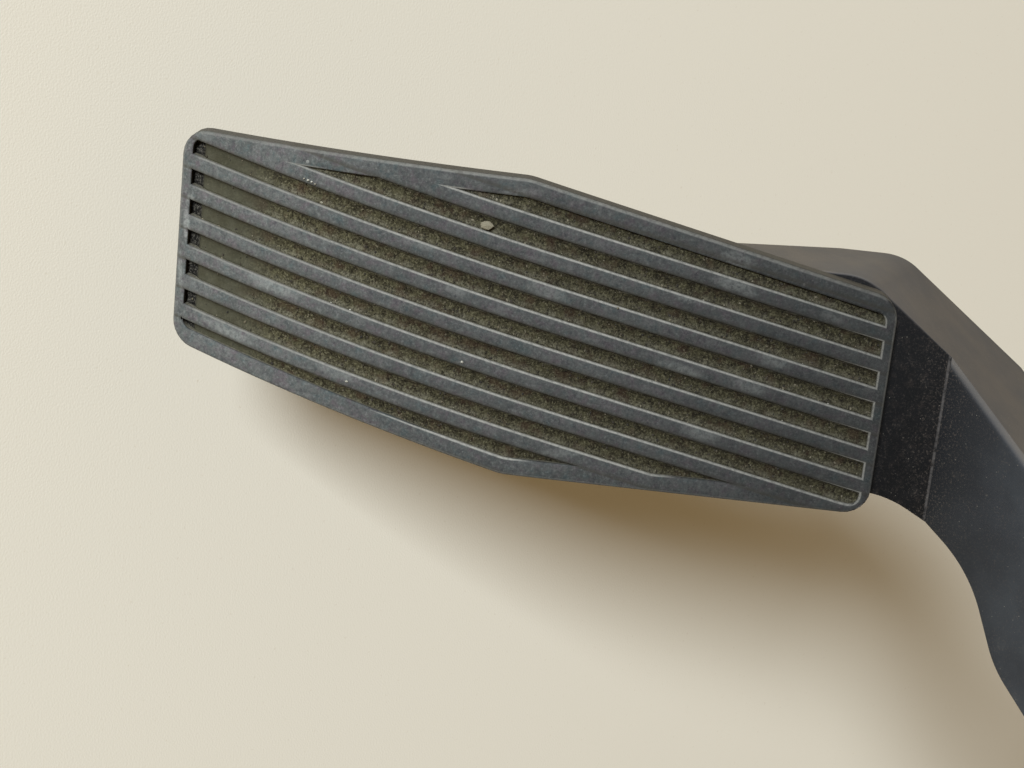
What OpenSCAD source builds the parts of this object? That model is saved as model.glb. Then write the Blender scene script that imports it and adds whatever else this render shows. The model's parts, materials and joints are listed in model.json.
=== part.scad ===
// Hanging accelerator pedal with its sensor module.
// Seen by the driver: X to the right, Y away towards the bulkhead, Z up.
// The origin is the centre of the bolt circle on the mounting face.
// The pivot axis runs along X, straight in front of the origin.

/* [Tread pad] */
// Length of the tread along its curve
pad_len = 140; // [120:1:150]
// Half the width of the tread at its middle
pad_half_w = 28.4; // [26:0.2:32]
// How far the slanting half edges run in by the ends
pad_taper = 15; // [10:0.5:18]
// Thickness of the rubber tread
pad_t = 5; // [4.5:0.1:6.5]
// Radius of the tread's curved lower part
pad_bow_r = 180; // [160:5:260]
// Where the curve starts, above the tread's middle
pad_bow_start = 9.9; // [4:0.1:20]
// Radius of the tread's corners
pad_corner_r = 5; // [3:0.5:7]
// Number of grooves in the tread
groove_count = 9; // [5:2:9]
// Spacing of the grooves, square to them
groove_pitch = 5.8; // [5.2:0.1:6.2]
// Width of a groove
groove_w = 2.85; // [2:0.05:3.4]
// Depth of a groove
groove_depth = 2.5; // [1.5:0.1:3.2]
// Plain border beside the grooves
groove_margin = 3.4; // [2:0.1:5]
// Plain border past the grooves' ends
groove_end = 2.1; // [1.5:0.1:4]
// Slant of the grooves to the tread's length, degrees
groove_slant = 11.5; // [8:0.5:14]
// Radius of the plugs that hold the rubber to its plate
plug_r = 3; // [2.5:0.1:4]

/* [Pedal arm] */
// Angle of the tread to the arm, degrees
pad_lean = 45; // [40:1:50]
// Length of the neck between the tread and the bend
neck_len = 12; // [10:0.5:16]
// Height of the pivot above the bend
arm_len = 112; // [106:1:130]
// Sideways step from the tread's middle to the arm
arm_offset = 54; // [50:1:58]
// Width of the arm just below its hub
arm_w = 31; // [28:1:36]
// Depth of the arm, front to back
arm_depth = 32; // [28:1:34]
// Wall of the arm's channel
arm_wall = 3; // [2:0.25:4]
// Thickness of the stiffening ribs
arm_rib_t = 2; // [1.5:0.1:3]
// Thickness of the plate behind the tread
plate_t = 2.5; // [2:0.1:3.5]
// Step of the plate's edge inside the tread's edge
plate_step = 0.8; // [0.3:0.1:2]
// Depth of the channel behind the tread
fin_depth = 26; // [22:1:28]

/* [Pivot] */
// Distance of the pivot axis from the mounting face
pivot_depth = 50; // [48:1:60]
// Travel of the pedal, degrees
travel = 15; // [10:0.5:16]
// Radius of the pivot shaft
shaft_r = 5; // [4:0.25:6]
// Radial clearance of the shaft in its bushes
shaft_fit = 0.05; // [0.02:0.01:0.08]
// Wall of the bushes
bush_wall = 2; // [1.5:0.25:3]
// Thickness of the friction discs
disc_t = 1.5; // [1:0.25:2]
// Running gap beside each friction disc
disc_gap = 0.2; // [0.1:0.05:0.4]
// Gap between a stop and the arm that meets it
stop_gap = 0.3; // [0.2:0.05:0.5]

/* [Housing] */
// Wall of the housing
wall = 3; // [2.5:0.25:4]
// Thickness of the mounting flange
flange_t = 5; // [4:0.5:7]
// Diameter of the bolt circle
bolt_circle = 100; // [98:1:110]
// Radius of the bolt holes in the sleeves
bolt_hole_r = 3.3; // [2.7:0.05:3.4]
// Wall of the mounting sleeves
sleeve_wall = 1.7; // [1.2:0.1:2]
// Length of the mounting sleeves
sleeve_len = 8; // [7:0.5:12]
// Thickness of the front cover
cover_t = 2.5; // [2:0.25:3]

/* [Springs] */
// Mean radius of the outer return spring
outer_coil_r = 8.3; // [7.8:0.1:8.6]
// Wire diameter of the outer return spring
outer_wire = 2; // [1.6:0.1:2.2]
// Turns of the outer return spring
outer_turns = 7; // [5:1:8]
// Mean radius of the inner return spring
inner_coil_r = 5; // [4.4:0.1:5.4]
// Wire diameter of the inner return spring
inner_wire = 1.5; // [1:0.1:1.6]
// Turns of the inner return spring
inner_turns = 9; // [6:1:10]
// Distance of the springs below the pivot
spring_drop = 22; // [21:0.5:23]

/* [Sensor] */
// Outer radius of the sensor cover
cup_r = 19; // [18.5:0.25:19.5]
// Depth of the sensor cover
cup_depth = 15; // [14:0.5:18]
// Wall of the sensor cover
cup_wall = 2.4; // [2:0.1:2.8]
// Thickness of the seal under the sensor cover
seal_t = 1.2; // [0.8:0.1:1.6]
// Radius of the magnet
magnet_r = 6.5; // [5:0.5:8]
// Number of contacts in each row of the socket
pin_count = 3; // [2:1:4]

/* [Hidden] */
$fn = 96;
eps = 0.01;
far = 400;

// Sizes worked out from the ones above
front_y = -arm_depth / 2;
rear_y = arm_depth / 2;
base_y = pivot_depth;
plate_y = base_y - flange_t;
bend_p = pad_len / 2 + neck_len;
face_n = -pad_t;
draw_tilt = pad_lean / 2;
low_p = pad_bow_start - pad_bow_r * sin((pad_len / 2 + pad_bow_start) / pad_bow_r * 180 / PI);
hub_half = arm_w / 2 + 0.5;
hub_r = arm_depth / 2 + 1;
room_half = hub_half + disc_t + disc_gap;
side_x = room_half + wall;
boss_rise = 1;
boss_x = side_x + boss_rise;
bush_r = shaft_r + shaft_fit + bush_wall;
boss_r = bush_r + 5;
bolt_r = bolt_circle / 2;
sleeve_r = bolt_hole_r + sleeve_wall;

// Housing outline, measured from the pivot axis
house_top = 34;
house_low = -46;
front_room = 4;
house_front = front_y - front_room;
lever_top = 24;
lever_half = 6;
lever_front = 0;
stop_r = 4.5;
idle_stop_z = 19;
full_stop_z = -47;
stop_rubber = 3;

// Spring seats
seat_floor = 3;
spring_room = 1;
spring_back = rear_y - seat_floor;
seat_r = outer_coil_r + outer_wire / 2 + spring_room;
seat_wall = 2;

// Sensor stack, measured from the pivot axis along X
cup_x = side_x + seal_t;
cup_top = cup_x + cup_depth;
cup_inner_r = cup_r - cup_wall;
carrier_gap = 0.2;
carrier_x = boss_x + carrier_gap;
carrier_grip = 1.8;
carrier_web = 0.4;
magnet_t = 2.4;
magnet_x = carrier_x + carrier_grip + carrier_web;
carrier_end = magnet_x + magnet_t;
carrier_r = magnet_r + 2;
chip_t = 1.4;
chip_w = 5;
chip_h = 4;
chip_apart = 6.8;
chip_gap = 1.1;
board_t = 1.6;
board_half = 13;
board_top = 15;
board_x = carrier_end + chip_gap + chip_t;
socket_in_y = 22;
socket_in_x = 9;
socket_wall = 1.8;
socket_floor_z = 22;
socket_top_z = 42;
socket_x = cup_top - socket_wall - socket_in_x / 2;
pin_w = 1.5;
pin_t = 0.8;
pin_pitch = 5;
pin_row = 4;

function unit(v) = v / norm(v);
function left_of(u) = [-u[1], u[0]];
function turned(q, a) = [q[0] * cos(a) - q[1] * sin(a), q[0] * sin(a) + q[1] * cos(a)];
function turn_at(a, b, c) =
    let (u = unit(b - a), v = unit(c - b)) atan2(u[0] * v[1] - u[1] * v[0], u * v);

// Arc of radius r that rounds the corner b between a and c
function corner_arc(a, b, c, r, steps) =
    let (u = unit(b - a), bend = turn_at(a, b, c), side = sign(bend),
         reach = r * tan(abs(bend) / 2), hub = b - u * reach + left_of(u) * r * side)
    r <= 0 ? [b] : [for (i = [0:steps]) hub + turned(-left_of(u) * r * side, bend * i / steps)];

// Outline whose corners are rounded, each by its own radius
function rounded(pts, radii, steps = 6) =
    let (n = len(pts))
    [for (i = [0:n - 1])
        each corner_arc(pts[(i + n - 1) % n], pts[i], pts[(i + 1) % n], radii[i], steps)];

// Corners of an outline moved inwards by d, and the radii that go with them
function inset(pts, d) =
    let (n = len(pts))
    [for (i = [0:n - 1])
        let (a = left_of(unit(pts[i] - pts[(i + n - 1) % n])),
             b = left_of(unit(pts[(i + 1) % n] - pts[i])))
        pts[i] + d * (a + b) / (1 + a * b)];
// The same, with each edge moved by its own distance; d[i] is for the edge after pts[i]
function inset_each(pts, d) =
    let (n = len(pts))
    [for (i = [0:n - 1])
        let (j = (i + n - 1) % n, a = left_of(unit(pts[i] - pts[j])),
             b = left_of(unit(pts[(i + 1) % n] - pts[i])), k = a * b)
        pts[i] + ((d[j] - d[i] * k) * a + (d[i] - d[j] * k) * b) / (1 - k * k)];
function inset_radii(pts, radii, d) =
    let (n = len(pts))
    [for (i = [0:n - 1])
        turn_at(pts[(i + n - 1) % n], pts[i], pts[(i + 1) % n]) > 0
            ? max(radii[i] - d, 0.2) : radii[i] + d];

// Point of the pad's own frame (p up the tread, n out of its face) as Y and Z from the pivot
function pn(p, n) = [
    front_y + (p - bend_p) * sin(pad_lean) - (n - face_n) * cos(pad_lean),
    -arm_len + (p - bend_p) * cos(pad_lean) + (n - face_n) * sin(pad_lean)];

module at_pivot() translate([0, -pivot_depth, 0]) children();

// Profile drawn in Y and Z, run along X over both sides
module across(half) rotate([90, 0, 90]) translate([0, 0, -half]) linear_extrude(2 * half) children();

// Round bar along X between two stations
module bar_x(x0, x1, r) translate([x0, 0, 0]) rotate([0, 90, 0]) cylinder(r = r, h = x1 - x0);

// Round bar along Y between two stations
module bar_y(y0, y1, r) translate([0, y0, 0]) rotate([-90, 0, 0]) cylinder(r = r, h = y1 - y0);

// The pad's frame: X up the tread, Y to the driver's left, Z out of its face
module in_pad_frame() {
    middle = pn(0, 0);
    translate([-arm_offset, middle[0], middle[1]])
        rotate([90 - pad_lean, 0, 0]) rotate([0, 0, 90]) children();
}

// Everything that lies deeper than d under the tread's face, as a profile in p and n
module under_face(d) {
    translate([pad_bow_start, -far]) square([far, far - d]);
    difference() {
        translate([pad_bow_start, -pad_bow_r]) circle(r = pad_bow_r - d, $fn = 360);
        translate([pad_bow_start, -far]) square([far, 2 * far]);
    }
}

// Layer between two depths under the tread's face
module face_layer(d0, d1)
    rotate([90, 0, 0]) linear_extrude(2 * pad_half_w + 20, center = true)
        difference() {
            under_face(d0);
            under_face(d1);
        }

// Outline of the tread in p and l, drawn smaller by d
pad_corners = [[pad_len / 2, -pad_half_w], [pad_len / 2, pad_half_w - pad_taper], [0, pad_half_w],
    [low_p, pad_half_w], [low_p, pad_taper - pad_half_w], [0, -pad_half_w]];
pad_radii = [pad_corner_r, pad_corner_r, 10, pad_corner_r, pad_corner_r, 10];
module pad_outline(d)
    polygon(rounded(inset(pad_corners, d), inset_radii(pad_corners, pad_radii, d), 10));

groove_borders = [groove_end, groove_margin, groove_margin, groove_end, groove_margin, groove_margin];
groove_corner_r = 2.4;
module grooves()
    intersection() {
        translate([0, 0, -far / 4]) linear_extrude(far / 2)
            intersection() {
                polygon(rounded(inset_each(pad_corners, groove_borders),
                    [for (q = pad_corners) groove_corner_r]));
                rotate(-groove_slant)
                    for (i = [0:groove_count - 1])
                        translate([-pad_len, (i - (groove_count - 1) / 2) * groove_pitch - groove_w / 2])
                            square([2 * pad_len, groove_w]);
            }
        face_layer(-10, groove_depth);
    }

// Places of the plugs in p and l, counted from the tread's top end
plug_rows = [24, 54];
plug_places = [[pad_len / 2 - plug_rows[0], -8], [pad_len / 2 - plug_rows[1], 10],
    [pad_len / 2 - plug_rows[1], -10]];
plug_head_r = plug_r + 1.3;
plug_head_t = 2;
plug_lead = 0.8;

module pedal_pad() color([0.2, 0.22, 0.24]) at_pivot() in_pad_frame() {
    difference() {
        intersection() {
            translate([0, 0, -far / 4]) linear_extrude(far / 2) pad_outline(0);
            face_layer(0, pad_t);
        }
        grooves();
    }
    for (q = plug_places) translate([q[0], q[1], 0]) {
        translate([0, 0, -pad_t - plate_t - eps]) cylinder(r = plug_r, h = plate_t + 1);
        translate([0, 0, -pad_t - plate_t - plug_head_t])
            cylinder(r1 = plug_r - plug_lead, r2 = plug_head_r, h = plug_head_t);
    }
}

// Outline of the arm seen along its mould's draw: X from the tread's middle, W up
box_left = -16.5;
box_right = 25.4;
box_low_right = 11.5;
box_low_p = -50;
box_bend_w = -86;
draw_low = -(bend_p - box_low_p) * cos(draw_tilt) - fin_depth * sin(draw_tilt);
draw_top = (arm_len + lever_top + 20) * cos(draw_tilt) + arm_depth;
crank_out = 50.5;
arm_corners = [[box_left, draw_low], [box_low_right, draw_low], [box_right - 1, box_bend_w],
    [box_right, -8], [36.3, 10.4], [52.6, 18.4],
    [arm_offset + arm_w / 2, 37.2], [arm_offset + arm_w / 2, draw_top],
    [arm_offset - arm_w / 2, draw_top], [arm_offset - arm_w / 2, crank_out], [box_left, -16.8]];
arm_radii = [6, 6, 30, 19, 25, 20, 22, 0, 0, 30, 10];
module arm_outline(d)
    polygon(rounded(inset(arm_corners, d), inset_radii(arm_corners, arm_radii, d), 12));

// Body drawn in X and W, run along the mould's draw through the bend
module along_draw()
    translate([-arm_offset, front_y, -arm_len]) rotate([90 - draw_tilt, 0, 0])
        translate([0, 0, -far / 2]) linear_extrude(far) children();

// Point on the channel's back edge, square behind the bend
fin_back = pn(bend_p, face_n - fin_depth);
deep_p = 62;
step_p = 40;
fin_step = 7;
tail_depth = 14;

// Side profile of the arm in Y and Z; cut is how far its back edge is drawn in
module lower_profile(front_d, cut)
    intersection() {
        polygon([pn(box_low_p - 10, 20), pn(bend_p, 20), pn(bend_p + 40, face_n - 10),
            [rear_y, fin_back[1] + (rear_y - fin_back[0]) / tan(pad_lean)],
            pn(deep_p, face_n - fin_depth + cut), pn(step_p, face_n - fin_depth + fin_step + cut),
            pn(box_low_p - 10, face_n - tail_depth + cut)]);
        translate(pn(0, 0)) rotate(90 - pad_lean) under_face(front_d);
    }
module upper_profile(skin, cut)
    translate([front_y + skin, -arm_len]) square([arm_depth - skin - cut, arm_len]);
module arm_profile(skin, cut) {
    difference() {
        lower_profile(pad_t + skin, cut);
        translate([rear_y - cut, -far]) square([far, 2 * far]);
    }
    upper_profile(skin, cut);
}

// Slanting ribs, crossed, over the length of the channel
rib_step = 27;
rib_count = 9;
rib_first = 22;
rib_middle = 4;
rib_lean = 38;
rib_len = 70;
module rib_grid()
    for (i = [0:rib_count - 1])
        let (w = draw_low + rib_first + i * rib_step,
             x = w < 0 ? rib_middle : min(rib_middle + w, arm_offset))
        for (a = [-rib_lean, rib_lean])
            translate([x, w]) rotate(a) square([rib_len, arm_rib_t], center = true);

module pedal_arm() color([0.24, 0.25, 0.26]) at_pivot() difference() {
    union() {
        // Channel: the outer form less its hollow
        difference() {
            intersection() {
                across(far / 2) arm_profile(0, 0);
                along_draw() arm_outline(0);
            }
            intersection() {
                across(far / 2) arm_profile(arm_wall, -20);
                along_draw() arm_outline(arm_wall);
            }
        }
        // Ribs
        intersection() {
            across(far / 2) arm_profile(0.5, 1.5);
            along_draw() intersection() {
                arm_outline(1);
                rib_grid();
            }
        }
        // Plate behind the tread
        in_pad_frame() intersection() {
            translate([0, 0, -far / 4]) linear_extrude(far / 2) pad_outline(plate_step);
            face_layer(pad_t, pad_t + plate_t);
        }
        // Hub, idle lever, land of the full stop and spring seat
        bar_x(-hub_half, hub_half, hub_r);
        translate([-lever_half, lever_front, 0]) cube([2 * lever_half, rear_y - lever_front, lever_top]);
        translate([0, 0, full_stop_z]) bar_y(front_y + 1, rear_y, post_r);
        translate([0, 0, -spring_drop]) bar_y(front_y + 1, rear_y, seat_r + seat_wall);
    }
    // Bore for the shaft
    bar_x(-hub_half - 1, hub_half + 1, shaft_r);
    // Pocket for the springs
    translate([0, 0, -spring_drop]) bar_y(spring_back, rear_y + 20, seat_r);
    // Holes for the tread's plugs
    in_pad_frame() for (q = plug_places)
        translate([q[0], q[1], -pad_t - 10]) cylinder(r = plug_r, h = 20);
    in_pad_frame() for (q = plug_places)
        translate([q[0], q[1], -pad_t - plate_t - 12]) cylinder(r = plug_head_r + 1, h = 12);
}

module pivot_shaft() color([0.72, 0.73, 0.75]) at_pivot() difference() {
    bar_x(-shaft_end, carrier_x + carrier_grip, shaft_r);
    // Groove for the clip
    difference() {
        bar_x(-clip_x - clip_t, -clip_x, shaft_r + 1);
        bar_x(-clip_x - clip_t - 1, -clip_x + 1, shaft_r - clip_bite);
    }
}
clip_t = 1;
clip_bite = 0.8;
clip_x = boss_x + 0.4;
shaft_end = clip_x + clip_t + 1.5;
clip_r = shaft_r + 2.6;

module shaft_clip() color([0.6, 0.6, 0.62]) at_pivot() difference() {
    bar_x(-clip_x - clip_t, -clip_x, clip_r);
    bar_x(-clip_x - clip_t - 1, -clip_x + 1, shaft_r - clip_bite);
    translate([-clip_x - clip_t - 1, -shaft_r * 0.6, -far]) cube([clip_t + 2, shaft_r * 1.2, far]);
}

disc_inset = 2;
module friction_disc_at(x) at_pivot() difference() {
    bar_x(x, x + disc_t, rear_y - disc_inset);
    bar_x(x - 1, x + disc_t + 1, shaft_r);
}
module friction_disc_left() color([0.75, 0.72, 0.62]) friction_disc_at(-hub_half - disc_t);
module friction_disc_right() color([0.75, 0.72, 0.62]) friction_disc_at(hub_half);

module bush_at(x) at_pivot() difference() {
    bar_x(x, x + wall + boss_rise, bush_r);
    bar_x(x - 1, x + wall + boss_rise + 1, shaft_r + shaft_fit);
}
module bush_left() color([0.78, 0.62, 0.38]) bush_at(-boss_x);
module bush_right() color([0.78, 0.62, 0.38]) bush_at(room_half);

cap_wall = 1.6;
side_rib_rise = 0.6;
side_rib_len = 5.5;
cap_x = shaft_end + 0.8;
cap_step = 0.8;
cap_border = 3;
module shaft_cap() color([0.13, 0.13, 0.14]) at_pivot() difference() {
    union() {
        bar_x(-cap_x - cap_wall, -side_x, boss_r + cap_wall);
        bar_x(-cap_x - cap_wall - cap_step, -cap_x, boss_r - cap_border);
    }
    bar_x(-cap_x, -side_x + 1, boss_r);
}

// Side of the housing in Y and Z
house_corners = [[base_y, house_low], [base_y, house_top], [-2, house_top], [house_front, 16],
    [house_front, -14], [12, house_low]];
house_radii = [0, 0, 8, 10, 12, 6];

// Rounded triangle through the three bolts, and the foot of the housing, drawn smaller by d
ear_wall = 6;
foot_drop = 4;
rim_rise = 1.6;
module flange_outline(d) {
    ear_r = sleeve_r + ear_wall - d;
    polygon([for (a = bolt_angles) each [for (i = [-6:6])
        [bolt_r * cos(a) + ear_r * cos(a + i * 10), bolt_r * sin(a) + ear_r * sin(a + i * 10)]]]);
    translate([-side_x + d, house_low - foot_drop + d]) square([2 * (side_x - d), -house_low]);
}

// Pockets in the flange's back, between its rim, its ribs and the bolts' bosses
flange_rib = 2;
flange_rim = 2.5;
pocket_depth = flange_t - 2;
pocket_ring_r = seat_r + 8;
flange_hub_r = 5;
module flange_pockets() rotate([90, 0, 0]) translate([0, 0, -1]) linear_extrude(pocket_depth + 1)
    difference() {
        flange_outline(flange_rim);
        for (a = [0:60:120]) rotate(a + 30) square([far, flange_rib], center = true);
        for (s = [-1, 1]) translate([s * (side_x - flange_rim / 2), 0])
            square([flange_rib, far], center = true);
        difference() {
            circle(r = pocket_ring_r + flange_rib);
            circle(r = pocket_ring_r);
        }
        circle(r = flange_hub_r);
        for (a = bolt_angles) rotate(a) translate([bolt_r, 0]) circle(r = sleeve_r + boss_wall);
    }

bolt_angles = [90, 210, 330];
boss_wall = 3;
web_t = 2.5;
web_out = 16;
web_low = 3;
web_high = 18;
web_rise = 9;
web_levels = [-bolt_r / 2 - sleeve_r - boss_wall - web_t / 2, -bolt_r / 2 + sleeve_r + boss_wall];
module at_bolts() for (a = bolt_angles) translate([bolt_r * cos(a), 0, bolt_r * sin(a)]) children();

// Stops stand on the base; the full stop lies along the arm's back when it is pressed
module at_idle_stop() translate([0, rear_y + stop_gap, idle_stop_z]) children();
module at_full_stop() rotate([travel, 0, 0]) translate([0, rear_y + stop_gap, full_stop_z]) children();

post_r = stop_r + 1.5;
full_post_z = (rear_y + stop_gap + stop_rubber) * sin(travel) + full_stop_z * cos(travel);

screw_x = 12.5;
screw_y = 8;
screw_r = 1.75;
screw_len = 9;
screw_boss_r = 3.4;
screw_head_r = 3.6;
screw_head_t = 2.4;
sensor_screw_r = 1.5;
sensor_screw_reach = cup_r + 3;
sensor_lug_t = 3;
sensor_screw_len = 7;
sensor_head_r = 2.8;
sensor_head_t = 2;

module housing() color([0.15, 0.15, 0.16]) difference() {
    union() {
        rotate([90, 0, 0]) linear_extrude(flange_t) flange_outline(0);
        // Rim along the flange's edge
        rotate([90, 0, 0]) linear_extrude(flange_t + rim_rise) difference() {
            flange_outline(0);
            flange_outline(flange_rib);
        }
        at_bolts() bar_y(-sleeve_len, 0, sleeve_r + boss_wall);
        at_pivot() {
            // Side walls
            for (s = [-1, 1]) translate([s * (room_half + wall / 2), 0, 0])
                across(wall / 2) polygon(rounded(house_corners, house_radii));
            // Roof, as far forward as the front cover
            across(room_half + 1) intersection() {
                polygon(rounded(house_corners, house_radii));
                translate([cover_seam, house_top - wall]) square([far, wall]);
            }
            // Raised rings round the bushes
            bar_x(-boss_x, -room_half, boss_r);
            bar_x(room_half, boss_x, boss_r);
            // Ribs on the plain side
            for (a = [20:60:320]) rotate([a, 0, 0])
                translate([-side_x - side_rib_rise, boss_r + cap_wall + 0.3, -1])
                    cube([side_rib_rise + 1, side_rib_len, 2]);
            // Seat ring for the springs
            translate([0, 0, -spring_drop]) bar_y(plate_y - 4, plate_y + 1, seat_r + seat_wall);
            // Posts of the two stops
            translate([0, 0, idle_stop_z]) bar_y(rear_y + stop_gap + stop_rubber, base_y - 1, post_r);
            intersection() {
                translate([0, 0, full_post_z]) bar_y(0, base_y - 1, post_r);
                at_full_stop() translate([-far / 2, stop_rubber, -far / 2]) cube(far);
            }
            // Bosses for the cover's screws
            for (s = [-1, 1]) translate([s * screw_x, screw_y, house_top - screw_len - 1])
                cylinder(r = screw_boss_r, h = screw_len);
            // Bosses for the sensor cover's screws
            at_sensor_screws() bar_x(room_half, side_x, sensor_screw_r + 2);
            // Webs between the ears and the sides
            for (s = [-1, 1], z = web_levels)
                translate([0, 0, z]) linear_extrude(web_t)
                    polygon([[s * (side_x - 1), plate_y + 1], [s * (side_x + web_out), plate_y + 1],
                        [s * (side_x + web_out), plate_y - web_low],
                        [s * (side_x - 1), plate_y - web_high]]);
            for (s = [-1, 1]) translate([s * screw_x, 0, 0]) across(web_t / 2)
                polygon([[plate_y - web_high, house_top - 1], [plate_y + 1, house_top - 1],
                    [plate_y + 1, house_top + web_rise], [plate_y - web_low, house_top + web_rise]]);
        }
    }
    flange_pockets();
    at_bolts() bar_y(-far / 4, 1, sleeve_r);
    at_pivot() {
        bar_x(-far / 4, -hub_half, bush_r);
        bar_x(hub_half, far / 4, bush_r);
        translate([0, 0, -spring_drop]) bar_y(plate_y - 5, plate_y, seat_r);
        for (s = [-1, 1]) translate([s * screw_x, screw_y, house_top - screw_len])
            cylinder(r = screw_r, h = screw_len + 5);
        at_sensor_screws() bar_x(cup_x + sensor_lug_t - sensor_screw_len, far / 4, sensor_screw_r);
    }
}
cover_seam = -2;

module mount_sleeves() color([0.75, 0.76, 0.78]) at_bolts() difference() {
    bar_y(-sleeve_len, 0, sleeve_r);
    bar_y(-sleeve_len - 1, 1, bolt_hole_r);
}

// Front cover: a bent shell over the front edges of the sides, and its tab on the roof
cover_tab = 14;
cover_low = -10;
cover_lip = 1.8;
module front_cover() color([0.17, 0.17, 0.18]) at_pivot() difference() {
    union() {
        across(side_x) difference() {
            polygon(rounded(inset(house_corners, -cover_t),
                inset_radii(house_corners, house_radii, -cover_t)));
            polygon(rounded(house_corners, house_radii));
            translate([-far, -far]) square([2 * far, far + cover_low]);
            translate([cover_tab, -far]) square([far, 2 * far]);
        }
        // Lip between the sides
        across(room_half - 0.2) difference() {
            polygon(rounded(house_corners, house_radii));
            polygon(rounded(inset(house_corners, cover_lip),
                inset_radii(house_corners, house_radii, cover_lip)));
            translate([-far, -far]) square([2 * far, far + cover_low]);
            translate([cover_seam - 0.2, -far]) square([far, 2 * far]);
        }
    }
    for (s = [-1, 1]) translate([s * screw_x, screw_y, house_top - 1]) cylinder(r = screw_r + 0.2, h = 9);
}

key_depth = 1.2;
module screw(len, r, head_r, head_t) difference() {
    union() {
        translate([0, 0, -len]) cylinder(r = r, h = len + eps);
        cylinder(r = head_r, h = head_t);
    }
    translate([0, 0, head_t - key_depth]) cylinder(r = head_r * 0.45, h = 2, $fn = 6);
}

module cover_screws() color([0.55, 0.56, 0.58]) at_pivot()
    for (s = [-1, 1]) translate([s * screw_x, screw_y, house_top + cover_t])
        screw(cover_t + screw_len - 1, screw_r, screw_head_r, screw_head_t);

module idle_stop_pad() color([0.1, 0.1, 0.1]) at_pivot() at_idle_stop() bar_y(0, stop_rubber, stop_r);
module full_stop_pad() color([0.1, 0.1, 0.1]) at_pivot() at_full_stop() bar_y(0, stop_rubber, stop_r);

// Coil spring along Z with closed ends, centre line from wire / 2 to len - wire / 2
function coil_z(t, turns, wire, len) =
    t < 1 ? wire / 2 + t * wire
    : t > turns - 1 ? len - wire / 2 - (turns - t) * wire
    : wire * 1.5 + (t - 1) / (turns - 2) * (len - 3 * wire);
module coil(coil_r, wire, turns, len, per_turn, sides) {
    rings = turns * per_turn;
    pts = [for (i = [0:rings], j = [0:sides - 1])
        let (a = 360 * i / per_turn, b = 360 * j / sides, r = coil_r + wire / 2 * cos(b),
             z = coil_z(i / per_turn, turns, wire, len))
        [r * cos(a), r * sin(a), z + wire / 2 * sin(b)]];
    polyhedron(pts, concat([[for (j = [0:sides - 1]) j]],
        [for (i = [0:rings - 1], j = [0:sides - 1])
            [i * sides + j, (i + 1) * sides + j, (i + 1) * sides + (j + 1) % sides,
             i * sides + (j + 1) % sides]],
        [[for (j = [sides - 1:-1:0]) rings * sides + j]]));
}
spring_slack = 0.1;
spring_len = plate_y - spring_back - 2 * spring_slack;
module return_spring(coil_r, wire, turns, per_turn, sides)
    at_pivot() translate([0, spring_back + spring_slack, -spring_drop]) rotate([-90, 0, 0])
        coil(coil_r, wire, turns, spring_len, per_turn, sides);
module return_spring_outer() color([0.6, 0.61, 0.63])
    return_spring(outer_coil_r, outer_wire, outer_turns, 20, 8);
module return_spring_inner() color([0.6, 0.61, 0.63])
    return_spring(inner_coil_r, inner_wire, inner_turns, 16, 6);

module at_sensor_screws() for (a = [40, 290]) rotate([a, 0, 0]) translate([0, sensor_screw_reach, 0])
    children();

// Cup over the shaft's end with the socket moulded on; the socket opens upwards
socket_half_y = socket_in_y / 2 + socket_wall;
socket_half_x = socket_in_x / 2 + socket_wall;
peg_r = 1.6;
peg_reach = 11;
face_recess = 0.8;
face_hub_r = 4;
spoke_t = 2;
pin_root = 8;
latch = [1.6, 6, 3];
latch_drop = 7;
module sensor_cover() color([0.12, 0.12, 0.13]) at_pivot() difference() {
    union() {
        bar_x(cup_x, cup_top, cup_r);
        at_sensor_screws() bar_x(cup_x, cup_x + sensor_lug_t, sensor_screw_r + cup_wall);
        at_sensor_screws() translate([cup_x, -5, -sensor_screw_r - cup_wall])
            cube([sensor_lug_t, 5, 2 * (sensor_screw_r + cup_wall)]);
        translate([socket_x - socket_half_x, -socket_half_y, 0])
            cube([2 * socket_half_x, 2 * socket_half_y, socket_top_z]);
        // Latch ramp for a plug
        translate([cup_top - eps, -latch[1] / 2, socket_top_z - latch_drop]) cube(latch);
    }
    difference() {
        bar_x(cup_x - 1, cup_top - cup_wall, cup_inner_r);
        for (a = [100, 260, 350]) rotate([a, 0, 0]) translate([0, peg_reach, 0])
            bar_x(board_x + board_t, cup_top, peg_r);
    }
    translate([socket_x - socket_in_x / 2, -socket_in_y / 2, socket_floor_z])
        cube([socket_in_x, socket_in_y, far]);
    // Shallow recess in the face, between three spokes
    difference() {
        bar_x(cup_top - face_recess, cup_top + 1, cup_r - cup_wall);
        bar_x(cup_top - 2, cup_top + 2, face_hub_r);
        for (a = [90, 210, 330]) rotate([a, 0, 0])
            translate([0, 0, -spoke_t / 2]) cube([far, cup_r, spoke_t]);
        translate([0, -socket_half_y, socket_floor_z - socket_wall - pin_root])
            cube([far, 2 * socket_half_y, far]);
    }
    pin_grid(0);
    at_sensor_screws() bar_x(cup_x - 1, far / 4, sensor_screw_r);
    at_sensor_screws() bar_x(cup_x + sensor_lug_t, far / 4, sensor_head_r + 0.4);
}

module pin_grid(grow)
    for (i = [0:pin_count - 1], s = [-1, 1])
        translate([socket_x + s * pin_row / 2, (i - (pin_count - 1) / 2) * pin_pitch, 0])
            translate([-pin_t / 2 - grow, -pin_w / 2 - grow, pin_low])
                cube([pin_t + 2 * grow, pin_w + 2 * grow, socket_top_z - pin_depth - pin_low]);
pin_low = 11;
pin_depth = 8;
module contact_pins() color([0.85, 0.75, 0.45]) at_pivot() difference() {
    pin_grid(0);
    translate([board_x - eps, -far / 2, -far / 2]) cube([board_t + 2 * eps, far, far / 2 + board_top]);
}

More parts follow.
